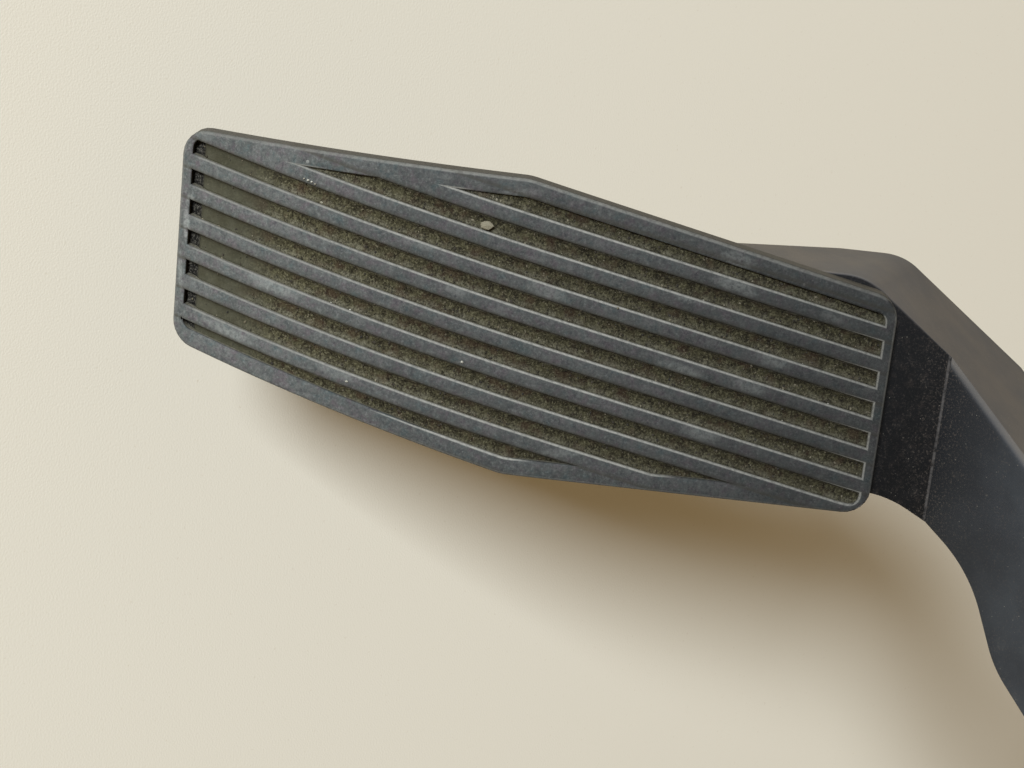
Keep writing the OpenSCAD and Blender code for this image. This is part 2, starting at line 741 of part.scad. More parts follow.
seal_inset = 0.2;
board_fit = 0.4;
module sensor_seal() color([0.25, 0.12, 0.1]) at_pivot() difference() {
    bar_x(side_x, cup_x, cup_r - seal_inset);
    bar_x(side_x - 1, cup_x + 1, cup_inner_r + board_fit);
}

module sensor_board() color([0.1, 0.35, 0.2]) at_pivot()
    intersection() {
        bar_x(board_x, board_x + board_t, cup_inner_r - board_fit);
        translate([0, -board_half, -board_half]) cube([far, 2 * board_half, board_half + board_top]);
    }

module hall_chips() color([0.08, 0.08, 0.08]) at_pivot()
    for (s = [-1, 1]) translate([board_x - chip_t, (s * chip_apart - chip_w) / 2, -chip_h / 2])
        cube([chip_t, chip_w, chip_h]);

module sensor_screws() color([0.55, 0.56, 0.58]) at_pivot()
    at_sensor_screws() translate([cup_x + sensor_lug_t, 0, 0]) rotate([0, 90, 0])
        screw(sensor_screw_len - 0.4, sensor_screw_r, sensor_head_r, sensor_head_t);

module magnet_carrier() color([0.85, 0.85, 0.82]) at_pivot() difference() {
    bar_x(carrier_x, carrier_end, carrier_r);
    bar_x(carrier_x - 1, carrier_x + carrier_grip, shaft_r);
    bar_x(magnet_x, carrier_end + 1, magnet_r);
}
module sensor_magnet() color([0.35, 0.35, 0.38]) at_pivot() bar_x(magnet_x, carrier_end, magnet_r);

housing();
mount_sleeves();
front_cover();
cover_screws();
bush_left();
bush_right();
shaft_cap();
idle_stop_pad();
full_stop_pad();
return_spring_outer();
return_spring_inner();
sensor_cover();
sensor_seal();
sensor_board();
hall_chips();
contact_pins();
sensor_screws();
pedal_arm();
pedal_pad();
pivot_shaft();
shaft_clip();
friction_disc_left();
friction_disc_right();
magnet_carrier();
sensor_magnet();
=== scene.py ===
"""Looks of a hanging accelerator pedal: rubber tread, moulded arm and sensor housing, in metres."""

import json
import math
import random

import bmesh
import bpy
from mathutils import Matrix, Vector


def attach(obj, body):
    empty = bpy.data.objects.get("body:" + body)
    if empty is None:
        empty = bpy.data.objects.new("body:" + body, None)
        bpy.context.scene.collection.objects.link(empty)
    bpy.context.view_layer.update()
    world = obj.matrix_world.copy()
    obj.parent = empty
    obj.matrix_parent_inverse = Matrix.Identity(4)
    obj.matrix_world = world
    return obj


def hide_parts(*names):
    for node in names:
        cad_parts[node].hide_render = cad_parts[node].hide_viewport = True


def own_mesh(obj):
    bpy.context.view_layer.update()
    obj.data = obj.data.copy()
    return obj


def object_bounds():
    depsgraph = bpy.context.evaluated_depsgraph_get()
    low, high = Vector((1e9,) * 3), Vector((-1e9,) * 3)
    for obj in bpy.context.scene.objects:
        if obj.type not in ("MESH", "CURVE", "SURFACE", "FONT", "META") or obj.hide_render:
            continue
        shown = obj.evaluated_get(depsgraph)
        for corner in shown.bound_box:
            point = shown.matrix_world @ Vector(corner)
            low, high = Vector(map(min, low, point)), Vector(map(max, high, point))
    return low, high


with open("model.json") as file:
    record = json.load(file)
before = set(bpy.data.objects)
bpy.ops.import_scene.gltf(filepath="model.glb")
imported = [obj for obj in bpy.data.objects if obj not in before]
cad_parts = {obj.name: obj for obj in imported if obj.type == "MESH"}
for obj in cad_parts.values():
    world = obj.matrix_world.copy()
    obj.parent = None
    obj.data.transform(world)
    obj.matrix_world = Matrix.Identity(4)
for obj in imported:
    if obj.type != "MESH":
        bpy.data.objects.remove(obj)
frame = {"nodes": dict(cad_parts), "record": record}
cad_box = [list(corner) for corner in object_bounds()]

MM = 0.001
MOUNT = "mount_body"
PEDAL = "pedal_body"

# The pad's own frame: x up the tread, y to the driver's left, z out of its face
PAD_LEAN = math.radians(45)
PAD_MIDDLE = Vector((-54, -127.52, -166.45)) * MM
PAD_UP = Vector((0, math.sin(PAD_LEAN), math.cos(PAD_LEAN)))
PAD_LEFT = Vector((-1, 0, 0))
PAD_OUT = Vector((0, -math.cos(PAD_LEAN), math.sin(PAD_LEAN)))
PAD_PLACE = Matrix.Translation(PAD_MIDDLE) @ Matrix((PAD_UP, PAD_LEFT, PAD_OUT)).transposed().to_4x4()

# Tread, in millimetres of that frame
HALF_LENGTH = 70
HALF_WIDTH = 28.4
TAPER = 15  # how far each slanting side comes in at its end
THICK = 5
BOW_RADIUS = 180
BOW_START = 9.9
LOW_END = BOW_START - BOW_RADIUS * math.sin((HALF_LENGTH + BOW_START) / BOW_RADIUS)
CORNER = 5
TIP_RADIUS = 10
RIM_ROUND = 0.6
NEAR_END = 60  # the corners at both ends lie past this
WIDE_SIDE = 20  # the straight sides lie further out than this
BOW_STEP = 4
LEAN = math.atan2(TAPER, HALF_LENGTH)

# Grooves
GROOVES = 9
GROOVE_PITCH = 5.8
GROOVE_WIDTH = 2.85
GROOVE_DEPTH = 2.5
GROOVE_MARGIN = 3.4
GROOVE_END = 2.1
CORNER_ROOM = 1.6  # how much narrower the border is beside the two outermost grooves
CORNER_REACH = 21
GROOVE_SLANT = math.radians(11.5)
GROOVE_ACROSS = Vector((math.sin(GROOVE_SLANT), math.cos(GROOVE_SLANT), 0))
GROOVE_ROUND = 0.42

# Plugs behind the tread
PLUGS = ((46, -8), (16, 10), (16, -10))
PLUG_TIP = 2.2
PLUG_HEAD = 4.3
PLUG_SHANK = 3
PLUG_TOP = -7.5
PLUG_THICK = 2
PLUG_REACH = 2.7  # from the head into the tread's back

# Dirt
DIRT_TRIM = 0.06  # how far the dirt runs into the rubber round it
DIRT_HEIGHT = 1.15
STRIP_HALF = 76
STRIP_STEPS = (390, 8)
PIT_START = -62.7
SMOOTH_END = -54

# Arm
DRAW = Vector((0, -math.cos(PAD_LEAN / 2), math.sin(PAD_LEAN / 2)))
HUB_LOW = -0.03
BEND_P = 82


# Modelling by hand

def none_selected():
    if bpy.context.object and bpy.context.object.mode != "OBJECT":
        bpy.ops.object.mode_set(mode="OBJECT")
    bpy.ops.object.select_all(action="DESELECT")


def only(piece):
    none_selected()
    piece.select_set(True)
    bpy.context.view_layer.objects.active = piece
    return piece


def named(piece, name):
    piece.name = name
    piece.data.name = name
    return piece


def edit(piece):
    only(piece)
    bpy.ops.object.mode_set(mode="EDIT")
    return piece


def done(piece):
    bpy.ops.object.mode_set(mode="OBJECT")
    return piece


def pick(piece, kind, test):
    """Selects, in edit mode, just the parts of one kind for which the test holds."""
    bpy.ops.mesh.select_mode(type={"verts": "VERT", "edges": "EDGE", "faces": "FACE"}[kind])
    shape = bmesh.from_edit_mesh(piece.data)
    for part in (*shape.verts, *shape.edges, *shape.faces):
        part.select_set(False)
    for part in getattr(shape, kind):
        if test(part):
            part.select_set(True)
    shape.select_flush_mode()
    bmesh.update_edit_mesh(piece.data)


def apply_modifier(piece, kind, **settings):
    only(piece)
    modifier = piece.modifiers.new(kind.lower(), kind)
    for key, value in settings.items():
        setattr(modifier, key, value)
    bpy.ops.object.modifier_apply(modifier=modifier.name)
    return piece


def smooth(piece, angle=35):
    only(piece)
    bpy.ops.object.shade_smooth_by_angle(angle=math.radians(angle))
    return piece


def joined_at(piece, places):
    """Copies a piece to each place, the first by moving it, and joins them all."""
    copies = [piece] + [piece.copy() for _ in places[1:]]
    for one in copies[1:]:
        one.data = piece.data.copy()
        bpy.context.scene.collection.objects.link(one)
    for one, place in zip(copies, places):
        one.data.transform(place)
    none_selected()
    for one in copies:
        one.select_set(True)
    bpy.context.view_layer.objects.active = piece
    bpy.ops.object.join()
    return piece


# Shader maths

class Wire:
    """A socket; sums and products on it add their Math nodes."""

    def __init__(self, paint, socket):
        self.paint = paint
        self.socket = socket

    def maths(self, operation, *values):
        return self.paint.node("ShaderNodeMath", {"operation": operation}, *values)

    def __add__(self, other):
        return self.maths("ADD", self, other)

    def __radd__(self, other):
        return self.maths("ADD", other, self)

    def __sub__(self, other):
        return self.maths("SUBTRACT", self, other)

    def __rsub__(self, other):
        return self.maths("SUBTRACT", other, self)

    def __mul__(self, other):
        return self.maths("MULTIPLY", self, other)

    def __rmul__(self, other):
        return self.maths("MULTIPLY", other, self)

    def __truediv__(self, other):
        return self.maths("DIVIDE", self, other)

    def rise(self, low, high):
        """0 below low and 1 above high, eased between."""
        return self.paint.node(
            "ShaderNodeMapRange", {"interpolation_type": "SMOOTHSTEP"}, self, low, high)


class Paint:
    """One procedural material, built round a Principled shader."""

    def __init__(self, name):
        self.material = bpy.data.materials.new(name)
        self.material.use_nodes = True
        self.tree = self.material.node_tree
        self.shader = self.tree.nodes["Principled BSDF"]
        object_place = self.node("ShaderNodeTexCoord", {}, out="Object")
        self.place = self.node("ShaderNodeVectorMath", {"operation": "SCALE"}, object_place, Scale=1 / MM)

    def node(self, kind, settings, *values, out=0, **sockets):
        made = self.tree.nodes.new(kind)
        for key, value in settings.items():
            if key == "stops":
                ramp = made.color_ramp.elements
                while len(ramp) < len(value):
                    ramp.new(0.5)
                for element, (position, colour) in zip(ramp, value):
                    element.position = position
                    element.color = colour
            else:
                setattr(made, key, value)
        for socket, value in zip(made.inputs, values):
            self.put(socket, value)
        for key, value in sockets.items():
            self.put(made.inputs[key.replace("_", " ")], value)
        return Wire(self, made.outputs[out])

    def put(self, socket, value):
        if isinstance(value, Wire):
            self.tree.links.new(value.socket, socket)
        elif value is not None:
            socket.default_value = value

    def mix(self, share, first, second):
        """One colour or the other, by a share from 0 to 1."""
        made = self.tree.nodes.new("ShaderNodeMix")
        made.data_type = "RGBA"
        for index, value in ((0, share), (6, first), (7, second)):
            self.put(made.inputs[index], value)
        return Wire(self, made.outputs[2])

    def times(self, first, second):
        """One colour multiplied by another."""
        return self.node("ShaderNodeVectorMath", {"operation": "MULTIPLY"}, *[
            value[:3] if isinstance(value, tuple) else value for value in (first, second)])

    def noise(self, size, detail=3, roughness=0.55, stretch=None, distortion=0, offset=(0, 0, 0)):
        """Cloudy noise whose features are about size millimetres across."""
        place = self.node("ShaderNodeVectorMath", {"operation": "ADD"}, self.place, offset)
        if stretch:
            place = self.node("ShaderNodeVectorMath", {"operation": "MULTIPLY"}, place, stretch)
        return self.node("ShaderNodeTexNoise", {}, Vector=place, Scale=1 / size, Detail=detail,
                         Roughness=roughness, Distortion=distortion)

    def cells(self, size, offset=(0, 0, 0)):
        """Distance from the nearest of many points, about size millimetres apart."""
        place = self.node("ShaderNodeVectorMath", {"operation": "ADD"}, self.place, offset)
        return self.node("ShaderNodeTexVoronoi", {}, Vector=place, Scale=1 / size, out="Distance")

    def along(self, direction, origin=(0, 0, 0)):
        """Millimetres along a direction, from an origin in metres."""
        dot = self.node("ShaderNodeVectorMath", {"operation": "DOT_PRODUCT"}, self.place,
                        tuple(direction), out="Value")
        return dot - Vector(direction).dot(Vector(origin)) / MM

    def attribute(self, name):
        return self.node("ShaderNodeAttribute", {"attribute_name": name}, out="Fac")

    def facing(self, direction):
        """Cosine of the angle between the surface and a direction, on the object's own axes."""
        normal = self.node("ShaderNodeTexCoord", {}, out="Normal")
        return self.node("ShaderNodeVectorMath", {"operation": "DOT_PRODUCT"}, normal,
                         tuple(direction), out="Value")

    def bump(self, height, distance, normal=None):
        """distance is how many millimetres a height of 1 stands up."""
        return self.node("ShaderNodeBump", {}, Strength=1.0, Distance=distance * MM, Height=height,
                         Normal=normal)

    def finish(self, colour, roughness, metallic=0.0, normal=None, **fixed):
        self.put(self.shader.inputs["Base Color"], colour)
        self.put(self.shader.inputs["Roughness"], roughness)
        self.put(self.shader.inputs["Metallic"], metallic)
        self.put(self.shader.inputs["Normal"], normal)
        for key, value in fixed.items():
            self.shader.inputs[key.replace("_", " ")].default_value = value
        return self.material


def shade(red, green, blue):
    """A screen colour of 0 to 255 as the shader's own, with its alpha."""
    part = [v / 255 for v in (red, green, blue)]
    return (*[v / 12.92 if v <= 0.04045 else ((v + 0.055) / 1.055) ** 2.4 for v in part], 1.0)


# Materials

def fading(p, up, levels):
    """A share that follows the tread's length, from its free end to the arm; it paints a sheen, along with
    dust, that brightens the free end.
    """
    places = (0.0, 0.15, 0.36, 0.6, 0.86, 1.0)
    return p.node("ShaderNodeValToRGB", {"stops": tuple(
        (place, (level, level, level, 1)) for place, level in zip(places, levels))},
        (up + HALF_LENGTH) / (2 * HALF_LENGTH))


# Marks on the tread: place in p and l, half lengths along and across, turn, strength
SCUFFS = (
    (-65.6, 9.5, 0.9, 4.5, 6, 1.0), (-66.4, 0.5, 0.6, 5, 4, 0.7), (-65.2, 14.6, 1.2, 1.6, 0, 0.8),
    (-47, 1.3, 6, 1.6, -12, 0.6), (-55.5, -9.5, 7, 1.2, -16, 0.45), (-38, 19.5, 2.2, 1.0, -20, 0.6),
    (39.2, 17.8, 4, 1.8, -12, 0.7), (39.4, 13.1, 5, 1.5, -10, 0.7), (31.5, 10.1, 4.5, 1.6, -12, 0.6),
    (31.4, -4.1, 5.5, 1.4, -12, 0.65), (5.1, 7.9, 5, 1.6, -12, 0.5), (48.3, -0.5, 4.2, 1.4, -10, 0.6),
    (44.7, -5.9, 4, 1.5, -12, 0.6), (41, 12.3, 3.5, 1.4, -14, 0.6), (36.6, -15.8, 4.5, 1.6, -12, 0.6),
    (-20, 14, 5, 1.3, -12, 0.4), (-33, -13.5, 5, 1.3, -12, 0.4), (12, -22.5, 8, 1.2, 12, 0.4),
    (58, 9, 3, 1.2, -12, 0.4), (-2, 25.5, 6, 1.0, 12, 0.45), (-12, 6, 2.5, 1.1, -12, 0.5))
NICKS = ((-9.3, -7.4, 0.45), (-5.7, -1.5, 0.4), (-30, 8.2, 0.35), (22, -10.5, 0.3), (52, 14.5, 0.3),
         (-41, -16.2, 0.35), (8, 16.8, 0.3), (63, -3, 0.3), (-42, 26, 0.4))


def spots(p, up, left, marks):
    """Soft-edged patches laid one over another, as one share from 0 to 1."""
    total = None
    for x, y, long, wide, turn, strength in marks:
        c, d = math.cos(math.radians(turn)), math.sin(math.radians(turn))
        u = ((up - x) * c + (left - y) * d) / long
        v = ((left - y) * c - (up - x) * d) / wide
        patch = (1 - (u * u + v * v).rise(0.1, 1.0)) * strength
        total = patch if total is None else total.maths("MAXIMUM", total, patch)
    return total


def mottled_rubber(p, up):
    """Grey rubber with brown and blue in it, paler towards the free end with painted sheen and dust."""
    clouds = p.noise(6, detail=5, roughness=0.6)
    mottle = p.noise(1.1, detail=6, roughness=0.75, distortion=0.3)
    tint = p.noise(2.4, detail=4, roughness=0.7, offset=(11, 3, 8))
    streak = p.noise(1.3, detail=4, roughness=0.65, stretch=(1, 0.3, 0.3), offset=(5, 1, 3))
    speckled = p.noise(0.5, detail=4, roughness=0.8, offset=(7, 2, 9))
    base = p.mix(clouds.rise(0.35, 0.65), shade(92, 94, 89), shade(106, 107, 102))
    base = p.mix(tint.rise(0.47, 0.68) * 0.75, base, shade(108, 96, 98))
    base = p.mix((1 - tint.rise(0.3, 0.47)) * 0.7, base, shade(84, 99, 97))
    base = p.mix((1 - mottle.rise(0.32, 0.5)) * 0.7, base, shade(66, 67, 68))
    base = p.mix(mottle.rise(0.52, 0.7) * 0.65, base, shade(138, 139, 131))
    base = p.mix(streak.rise(0.56, 0.72) * 0.35, base, shade(140, 140, 134))
    base = p.mix((1 - speckled.rise(0.34, 0.48)) * 0.55, base, shade(60, 62, 66))
    base = p.mix(speckled.rise(0.52, 0.66) * 0.5, base, shade(142, 143, 140))
    return p.times(base, fading(p, up, (0.74, 0.68, 0.44, 0.36, 0.2, 0.17))), mottle


def rub_groove_edges(p, base, up, left, light):
    """Dirt and painted shade on each groove's upper edge, a pale line of wear and painted highlight on its
    lower one, and dust on its walls.
    """
    across = left * math.cos(GROOVE_SLANT) + up * math.sin(GROOVE_SLANT)
    off = across.maths("WRAP", across, GROOVE_PITCH / 2, -GROOVE_PITCH / 2)
    half = GROOVE_WIDTH / 2
    depth = p.attribute("depth")
    grooved = p.attribute("grooved")
    # Dirt with painted shade along each groove's upper edge and the land just above it
    upper_edge_dirt_and_shade = (1 - off.rise(half, half + 1.0)) * off.rise(half - 0.3, half)
    crumbly = p.noise(0.7, detail=4, roughness=0.7).rise(0.25, 0.6)
    base = p.mix(upper_edge_dirt_and_shade * (0.35 + 0.4 * crumbly), base, p.times(shade(82, 78, 66), light * 0.75))
    # Pale line on each groove's lower edge: wear with a painted highlight
    broken = p.noise(0.8, detail=5, roughness=0.75).rise(0.32, 0.6)
    pale = p.times(shade(150, 147, 137), fading(p, up, (0.66, 0.68, 0.9, 0.9, 0.62, 0.5)))
    base = p.mix(p.attribute("worn") * (0.5 + 0.5 * broken), base, pale)
    dusty = depth.rise(GROOVE_ROUND, GROOVE_ROUND + 0.3) * grooved
    wall = p.mix(p.noise(0.5, detail=3).rise(0.35, 0.65), shade(104, 98, 80), shade(140, 134, 116))
    base = p.mix(dusty * 0.95, base, p.times(wall, light))
    # Painted shade in the hollow at each groove's free end
    end_pit_shade = (1 - up.rise(-65.3, -64.9)) * depth.rise(0.3, 0.55) * grooved
    base = p.mix(end_pit_shade * 0.85, base, shade(26, 24, 20))
    side = depth.rise(0.5, 1.4) * (1 - grooved)
    return p.mix(side * 0.7, base, shade(80, 75, 65)), dusty


def tread_rubber():
    p = Paint("tread_rubber")
    up = p.along(PAD_UP, PAD_MIDDLE)
    left = p.along(PAD_LEFT, PAD_MIDDLE)
    base, mottle = mottled_rubber(p, up)
    # Painted sheen, brighter towards the free end, for the marks below
    light = fading(p, up, (0.9, 0.85, 0.6, 0.5, 0.34, 0.3))
    # Rubbed patches, bright specks and nicks
    uneven = p.noise(0.9, detail=5, roughness=0.75, distortion=0.5).rise(0.32, 0.62)
    patch = spots(p, up, left, SCUFFS) * uneven
    base = p.mix(patch * 0.7, base, p.times(shade(196, 198, 188), light * 0.62))
    speck = p.noise(0.28, detail=2, roughness=0.6)
    base = p.mix(speck.rise(0.62, 0.8) * 0.35, base, p.times(shade(180, 176, 164), light))
    nick = spots(p, up, left, [(x, y, r, r, 0, 1.0) for x, y, r in NICKS]).rise(0.2, 0.5)
    base = p.mix(nick * (1 - p.attribute("grooved")), base, shade(196, 194, 184))
    base, dusty = rub_groove_edges(p, base, up, left, light)
    grain = p.noise(0.2, detail=3, roughness=0.6)
    normal = p.bump(grain, 0.02, normal=p.bump(mottle, 0.06))
    return p.finish(base, 0.66 - 0.1 * patch + 0.2 * dusty, normal=normal, Specular_IOR_Level=0.25)


def plastic(name, dark, pale, dust, dust_share=0.5, rough=0.5):
    """Moulded engineering plastic with a fine grain, and dust on it in clouds."""
    p = Paint(name)
    clouds = p.noise(14, detail=5, roughness=0.6)
    base = p.mix(clouds.rise(0.35, 0.7), dark, pale)
    film = p.noise(5, detail=6, roughness=0.68, offset=(40, 7, 3))
    specks = p.noise(0.4, detail=2, roughness=0.7)
    settled = film.rise(0.5, 0.85) * 0.5 + specks.rise(0.6, 0.78) * 0.55
    base = p.mix(settled * dust_share, base, dust)
    scratch = p.noise(1.1, detail=4, stretch=(0.1, 1, 1), distortion=0.3)
    grain = p.noise(0.3, detail=3, roughness=0.6)
    normal = p.bump(grain, 0.03, normal=p.bump(scratch, 0.03))
    return p.finish(base, rough + 0.22 * settled + 0.1 * scratch.rise(0.4, 0.7), normal=normal,
                    Specular_IOR_Level=0.4)


def metal(name, dark, pale, rough, stain=None, stain_share=0.0, metallic=1.0):
    """Bare or plated metal: blotches of tone, fine scratches and a little staining."""
    p = Paint(name)
    blotch = p.noise(2.4, detail=5, roughness=0.65)
    base = p.mix(blotch.rise(0.35, 0.7), dark, pale)
    if stain:
        stained = p.noise(1.3, detail=5, roughness=0.75, offset=(9, 4, 2)).rise(0.55, 0.75)
        base = p.mix(stained * stain_share, base, stain)
    lines = p.noise(0.25, detail=3, stretch=(0.15, 1, 1))
    return p.finish(base, rough + 0.16 * blotch, metallic, p.bump(lines, 0.01))


def light_floor():
    p = Paint("paper_floor")
    speck = p.noise(1.2, detail=3, roughness=0.7)
    fibre = p.noise(0.5, detail=2)
    base = p.mix(speck.rise(0.62, 0.8) * 0.5, shade(246, 238, 217), shade(222, 208, 180))
    return p.finish(base, 0.85, normal=p.bump(fibre, 0.05))


# Tread

def bow_down(x, z):
    """Height of a point of the flat tread, once its low part is bowed."""
    if x >= BOW_START:
        return z
    radius = BOW_RADIUS + z
    return math.sqrt(radius * radius - (x - BOW_START) ** 2) - BOW_RADIUS


def set_on_pad(piece):
    """Bows a piece modelled flat in millimetres, and sets it in its place on the pad."""
    for v in piece.data.vertices:
        v.co = PAD_PLACE @ (Vector((v.co.x, v.co.y, bow_down(v.co.x, v.co.z))) * MM)
    return piece


def groove_centre(i):
    return (i - (GROOVES - 1) / 2) * GROOVE_PITCH


def from_groove(co):
    """Distance across from the nearest groove's middle line; positive towards the driver's left."""
    across = co.dot(GROOVE_ACROSS)
    nearest = min(range(GROOVES), key=lambda i: abs(across - groove_centre(i)))
    return across - groove_centre(nearest)


def outline_room(co):
    """How far inside the tread's straight edges a point lies."""
    slanting = HALF_WIDTH * math.cos(LEAN)
    across = co.y * math.cos(LEAN) + co.x * math.sin(LEAN)
    return min(HALF_LENGTH - co.x, co.x - LOW_END, HALF_WIDTH - abs(co.y), slanting - abs(across))


def cut(piece, test, point, normal, **options):
    pick(piece, "faces", test)
    bpy.ops.mesh.bisect(plane_co=tuple(point), plane_no=tuple(normal), **options)


def draw_outline(tread):
    """Cuts the starting square to the tread's six sides and rounds its corners."""
    bpy.ops.mesh.select_all(action="SELECT")
    bpy.ops.transform.resize(value=((HALF_LENGTH - LOW_END) / 2, HALF_WIDTH, 1))
    bpy.ops.transform.translate(value=((HALF_LENGTH + LOW_END) / 2, 0, 0))
    cut(tread, lambda f: True, (0, 0, 0), (1, 0, 0))
    pick(tread, "verts", lambda v: v.co.x > 1 and v.co.y > 0)
    bpy.ops.transform.translate(value=(0, -TAPER, 0))
    pick(tread, "verts", lambda v: v.co.x < -1 and v.co.y < 0)
    bpy.ops.transform.translate(value=(0, TAPER, 0))
    pick(tread, "faces", lambda f: True)
    bpy.ops.mesh.dissolve_faces()

    def at_tip(v):
        return abs(v.co.x) < 1

    def at_slanting_end(v):
        return abs(v.co.x) > NEAR_END and v.co.x * v.co.y > 0

    def at_square_end(v):
        return abs(v.co.x) > NEAR_END and v.co.x * v.co.y < 0 and abs(v.co.y) > HALF_WIDTH - 1

    for test, turn, radius in ((at_tip, LEAN, TIP_RADIUS), (at_slanting_end, math.pi / 2 - LEAN, CORNER),
                               (at_square_end, math.pi / 2, CORNER)):
        pick(tread, "verts", test)
        bpy.ops.mesh.bevel(affect="VERTICES", offset=radius * math.tan(turn / 2), segments=6, profile=0.5)


def draw_border(tread):
    """Insets the border, narrower at both ends and beside the outermost grooves."""
    pick(tread, "faces", lambda f: True)
    bpy.ops.mesh.inset(thickness=GROOVE_MARGIN, use_even_offset=True)
    reach = GROOVE_MARGIN - GROOVE_END
    for end in (1, -1):
        for side in (1, -1):
            pick(tread, "verts", lambda v: v.co.x * end > NEAR_END and v.co.y * side > 0
                 and not v.is_boundary)
            slope = reach * TAPER / HALF_LENGTH if side == end else 0
            bpy.ops.transform.translate(value=(end * reach, -side * slope, 0))
    # The outermost grooves keep their width at their outer ends
    for end in (1, -1):
        pick(tread, "edges", lambda e: not e.is_boundary and e.calc_length() > 30
             and all(v.co.x * end > -2 and v.co.y * end < -WIDE_SIDE for v in e.verts))
        bpy.ops.mesh.subdivide(number_cuts=1)
        pick(tread, "verts", lambda v: abs(v.co.x * end - HALF_LENGTH / 2) < 10
             and v.co.y * end < -WIDE_SIDE and not v.is_boundary)
        bpy.ops.transform.translate(value=(end * CORNER_REACH, 0, 0))
        pick(tread, "verts", lambda v: v.co.x * end > NEAR_END
             and v.co.y * end < -WIDE_SIDE and not v.is_boundary)
        bpy.ops.transform.translate(value=(0, -end * CORNER_ROOM, 0))


def sink_grooves(tread):
    """Cuts the face inside the border along the grooves' sides, and pushes the grooves in."""
    shape = bmesh.from_edit_mesh(tread.data)
    inner = max(shape.faces, key=lambda f: f.calc_area())
    inner.material_index = 1
    bmesh.update_edit_mesh(tread.data)
    for i in range(GROOVES):
        for side in (-1, 1):
            place = GROOVE_ACROSS * (groove_centre(i) + side * GROOVE_WIDTH / 2)
            cut(tread, lambda f: f.material_index == 1, place, GROOVE_ACROSS)
    pick(tread, "faces", lambda f: f.material_index == 1
         and abs(from_groove(f.calc_center_median())) < GROOVE_WIDTH / 2 - 0.05)
    bpy.ops.mesh.extrude_region_move(TRANSFORM_OT_translate={"value": (0, 0, -GROOVE_DEPTH)})


def round_edges(tread):
    """Rounds the tread's rim, and the edges of its grooves less."""
    def at_face(e):
        zs = sorted(f.normal.z for f in e.link_faces)
        return len(zs) == 2 and zs[1] > 0.9 and abs(zs[0]) < 0.2 and all(abs(v.co.z) < 0.01 for v in e.verts)

    def on_outer_side(f):
        zs = [v.co.z for v in f.verts]
        return all(z < -THICK + 0.1 or z > -0.1 for z in zs) and min(zs) < -THICK + 0.1

    def outer(e):
        return at_face(e) and any(on_outer_side(f) for f in e.link_faces)

    pick(tread, "edges", outer)
    bpy.ops.mesh.bevel(offset=RIM_ROUND, segments=4, profile=0.5)
    pick(tread, "edges", lambda e: at_face(e) and not outer(e))
    bpy.ops.mesh.bevel(offset=GROOVE_ROUND, segments=3, profile=0.5, miter_outer="ARC", clamp_overlap=False)


def mark_pale_edge_and_depth(tread):
    """Stores, for the material, where a pale line of wear and painted highlight goes, how deep it lies and
    what is groove.
    """
    worn = []
    depth = []
    grooved = []
    for v in tread.data.vertices:
        co = v.co
        off = from_groove(co)
        room = outline_room(co)
        low_side = off < -GROOVE_WIDTH / 2 + 0.45
        right_end = co.x > HALF_LENGTH - GROOVE_END - 0.6
        left_end = co.x < LOW_END + GROOVE_END + 0.5
        in_groove = (room > GROOVE_END - 0.7 and abs(off) < GROOVE_WIDTH / 2 + 0.5
                     and co.z > -GROOVE_DEPTH - 0.1)
        on_edge = -GROOVE_ROUND - 0.05 < co.z < -0.005
        grooved.append(1.0 if in_groove else 0.0)
        depth.append(-co.z)
        if in_groove and on_edge and (low_side or right_end) and not left_end:
            worn.append(1.0)
        # The rim: fainter wear and painted highlight, stronger on the +y side, which faces the lamp
        elif room < 0.7 and -0.55 < co.z < -0.02:
            worn.append(0.45 if co.y > 0 else 0.2)
        else:
            worn.append(0.0)
    for name, values in (("worn", worn), ("depth", depth), ("grooved", grooved)):
        attribute = tread.data.attributes.new(name, "FLOAT", "POINT")
        attribute.data.foreach_set("value", values)


def make_tread():
    """The rubber tread, drawn flat, grooved, rounded, and then bowed onto the pad."""
    none_selected()
    bpy.ops.mesh.primitive_plane_add(size=2)
    tread = edit(named(bpy.context.object, "tread"))
    draw_outline(tread)
    draw_border(tread)
    sink_grooves(tread)
    # Body
    pick(tread, "edges", lambda e: e.is_boundary)
    bpy.ops.mesh.extrude_edges_move(TRANSFORM_OT_translate={"value": (0, 0, -THICK)})
    bpy.ops.mesh.edge_face_add()
    bpy.ops.mesh.select_all(action="SELECT")
    bpy.ops.mesh.normals_make_consistent(inside=False)
    round_edges(tread)
    # Cuts across, so that the low part can bow
    for k in range(int((BOW_START - LOW_END) / BOW_STEP) + 1):
        cut(tread, lambda f: True, (BOW_START - k * BOW_STEP, 0, 0), (1, 0, 0))
    for x in range(22, 60, 12):
        cut(tread, lambda f: True, (x, 0, 0), (1, 0, 0))
    done(tread)
    tread.data.materials.clear()
    for polygon in tread.data.polygons:
        polygon.material_index = 0
    mark_pale_edge_and_depth(tread)
    set_on_pad(tread)
    smooth(tread, 30)
    tread.data.materials.append(tread_rubber())
    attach(tread, PEDAL)
    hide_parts("pedal_pad")
    return tread


